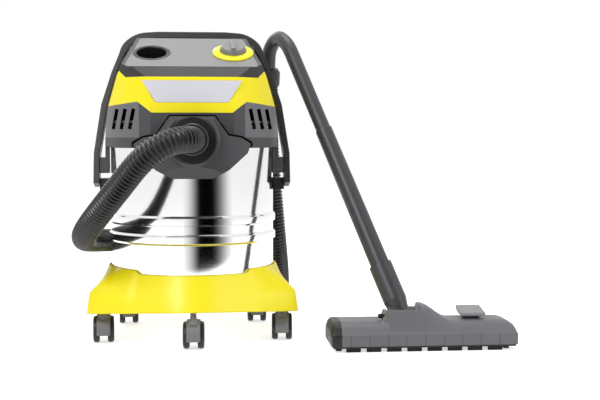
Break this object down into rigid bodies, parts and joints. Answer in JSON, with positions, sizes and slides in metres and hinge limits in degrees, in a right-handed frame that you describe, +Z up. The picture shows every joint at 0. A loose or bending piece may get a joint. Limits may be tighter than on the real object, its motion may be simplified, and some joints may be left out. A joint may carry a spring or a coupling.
{
  "type": "shop vacuum",
  "caption": "Wet and dry shop vacuum: steel container on a lobed caster base, motor head with bow handle, suction hose, leaning wand and wide floor nozzle.",
  "frame": {"origin": "on the floor, under the axis of the steel container", "axes": "+Z up, +Y to the rear, +X to the user's right, towards the floor nozzle"},
  "size_m": [0.8079, 0.8494, 0.6016],
  "materials": {
    "yellow_plastic": "smooth satin moulding",
    "steel": "bright rolled stainless",
    "dark_plastic": "fine grain",
    "grey_plastic": "fine grain",
    "light_grey_plastic": "fine grain",
    "silver_plate": "satin foil",
    "black_plastic": "fine grain",
    "hose_black": "ribbed",
    "rubber_black": "matte",
    "wheel_black": "matte",
    "hood_grey": "fine grain",
    "bright_steel": "turned",
    "motor_metal": "laminations",
    "filter_paper": "pleated fleece"
  },
  "bodies": {
    "chassis": {"chassis_base": "yellow_plastic", "chassis_screws": "bright_steel", "container": "steel", "container_collar": "dark_plastic", "side_lugs": "dark_plastic", "port_housing": "dark_plastic", "inlet_socket": "dark_plastic", "inlet_seal": "rubber_black", "hose_cuff_port": "hose_black", "hose": "hose_black"},
    "head": {"front_fascia": "yellow_plastic", "label_plate": "silver_plate", "top_lid": "dark_plastic", "control_panel": "light_grey_plastic", "side_cover_left": "grey_plastic", "side_cover_right": "grey_plastic", "head_lower_housing": "dark_plastic", "flap_pin": "bright_steel", "blower_socket": "black_plastic", "blower_grille": "light_grey_plastic", "switch_unit": "black_plastic", "motor_housing": "black_plastic", "motor_bearings": "bright_steel", "motor_stator": "motor_metal", "head_screws": "bright_steel", "filter_frame": "black_plastic", "pleated_filter": "filter_paper", "float_cage": "dark_plastic", "head_seal": "rubber_black", "cord_gland": "black_plastic", "cable_hook": "dark_plastic", "bow_pins": "bright_steel"},
    "bow": {"bow_handle": "dark_plastic"},
    "knob": {"knob_ring": "yellow_plastic", "knob_cap": "grey_plastic"},
    "rotor": {"rotor_shaft": "motor_metal", "fan": "black_plastic"},
    "float": {"float_cup": "black_plastic"},
    "filter_flap": {"filter_cover": "black_plastic"},
    "wand": {"wand_neck": "grey_plastic", "suction_tube": "grey_plastic", "grip_tube": "grey_plastic", "hose_cuff_grip": "hose_black", "nozzle_pin": "bright_steel"},
    "nozzle": {"nozzle_shell": "grey_plastic", "nozzle_sole": "black_plastic"},
    "pedal": {"foot_pedal": "grey_plastic"},
    "strips": {"sealing_strips": "rubber_black"},
    "caster_front": {"caster_front_hood": "hood_grey"},
    "wheels_front": {"caster_front_wheels": "wheel_black"},
    "caster_left": {"caster_left_hood": "hood_grey"},
    "wheels_left": {"caster_left_wheels": "wheel_black"},
    "caster_right": {"caster_right_hood": "hood_grey"},
    "wheels_right": {"caster_right_wheels": "wheel_black"},
    "caster_rear_left": {"caster_rear_left_hood": "hood_grey"},
    "wheels_rear_left": {"caster_rear_left_wheels": "wheel_black"},
    "caster_rear_right": {"caster_rear_right_hood": "hood_grey"},
    "wheels_rear_right": {"caster_rear_right_wheels": "wheel_black"}
  },
  "joints": [
    {"name": "head_lift", "type": "slide", "parent": "chassis", "child": "head", "axis": [0, 0, 1], "range_m": [0, 0.3]},
    {"name": "bow_swing", "type": "hinge", "parent": "head", "child": "bow", "pos_m": [0, 0, 0.33], "axis": [1, 0, 0], "range_deg": [0, 75]},
    {"name": "knob_turn", "type": "hinge", "parent": "head", "child": "knob", "pos_m": [0.077, -0.06008, 0.54151], "axis": [0, -0.454, 0.891], "range_deg": [-135, 135]},
    {"name": "rotor_spin", "type": "hinge", "parent": "head", "child": "rotor", "pos_m": [0, -0.022, 0.45], "axis": [0, 0, 1], "continuous": true},
    {"name": "float_rise", "type": "slide", "parent": "head", "child": "float", "axis": [0, 0, 1], "range_m": [0, 0.018]},
    {"name": "flap_open", "type": "hinge", "parent": "head", "child": "filter_flap", "pos_m": [0, 0.166, 0.438], "axis": [-1, 0, 0], "range_deg": [0, 75]},
    {"name": "wand_lift", "type": "slide", "parent": "chassis", "child": "wand", "axis": [-0.3014, 0.4554, 0.8377], "range_m": [0, 0.06]},
    {"name": "nozzle_tilt", "type": "hinge", "parent": "wand", "child": "nozzle", "pos_m": [0.378, -0.184, 0.06], "axis": [1, 0, 0], "range_deg": [-15, 15]},
    {"name": "pedal_press", "type": "hinge", "parent": "nozzle", "child": "pedal", "pos_m": [0.51, -0.168, 0.047], "axis": [1, 0, 0], "range_deg": [0, 12]},
    {"name": "strip_raise", "type": "slide", "parent": "nozzle", "child": "strips", "axis": [0, 0, 1], "range_m": [0, 0.0065]},
    {"name": "swivel_front", "type": "hinge", "parent": "chassis", "child": "caster_front", "pos_m": [0, -0.165, 0.06], "axis": [0, 0, 1], "continuous": true},
    {"name": "roll_front", "type": "hinge", "parent": "caster_front", "child": "wheels_front", "pos_m": [0.00049, -0.15101, 0.025], "axis": [-0.9994, 0.0349, 0], "continuous": true},
    {"name": "swivel_left", "type": "hinge", "parent": "chassis", "child": "caster_left", "pos_m": [-0.167, -0.084, 0.06], "axis": [0, 0, 1], "continuous": true},
    {"name": "roll_left", "type": "hinge", "parent": "caster_left", "child": "wheels_left", "pos_m": [-0.16773, -0.07002, 0.025], "axis": [-0.9986, -0.0523, 0], "continuous": true},
    {"name": "swivel_right", "type": "hinge", "parent": "chassis", "child": "caster_right", "pos_m": [0.167, -0.084, 0.06], "axis": [0, 0, 1], "continuous": true},
    {"name": "roll_right", "type": "hinge", "parent": "caster_right", "child": "wheels_right", "pos_m": [0.16798, -0.07003, 0.025], "axis": [-0.9976, 0.0698, 0], "continuous": true},
    {"name": "swivel_rear_left", "type": "hinge", "parent": "chassis", "child": "caster_rear_left", "pos_m": [-0.132, 0.132, 0.06], "axis": [0, 0, 1], "continuous": true},
    {"name": "roll_rear_left", "type": "hinge", "parent": "caster_rear_left", "child": "wheels_rear_left", "pos_m": [-0.13298, 0.14597, 0.025], "axis": [-0.9976, -0.0698, 0], "continuous": true},
    {"name": "swivel_rear_right", "type": "hinge", "parent": "chassis", "child": "caster_rear_right", "pos_m": [0.132, 0.132, 0.06], "axis": [0, 0, 1], "continuous": true},
    {"name": "roll_rear_right", "type": "hinge", "parent": "caster_rear_right", "child": "wheels_rear_right", "pos_m": [0.13224, 0.146, 0.025], "axis": [-0.9998, 0.0175, 0], "continuous": true}
  ],
  "couplings": [
    {"joint": "strip_raise", "follows": "pedal_press", "m_per_rad": 0.031035}
  ]
}
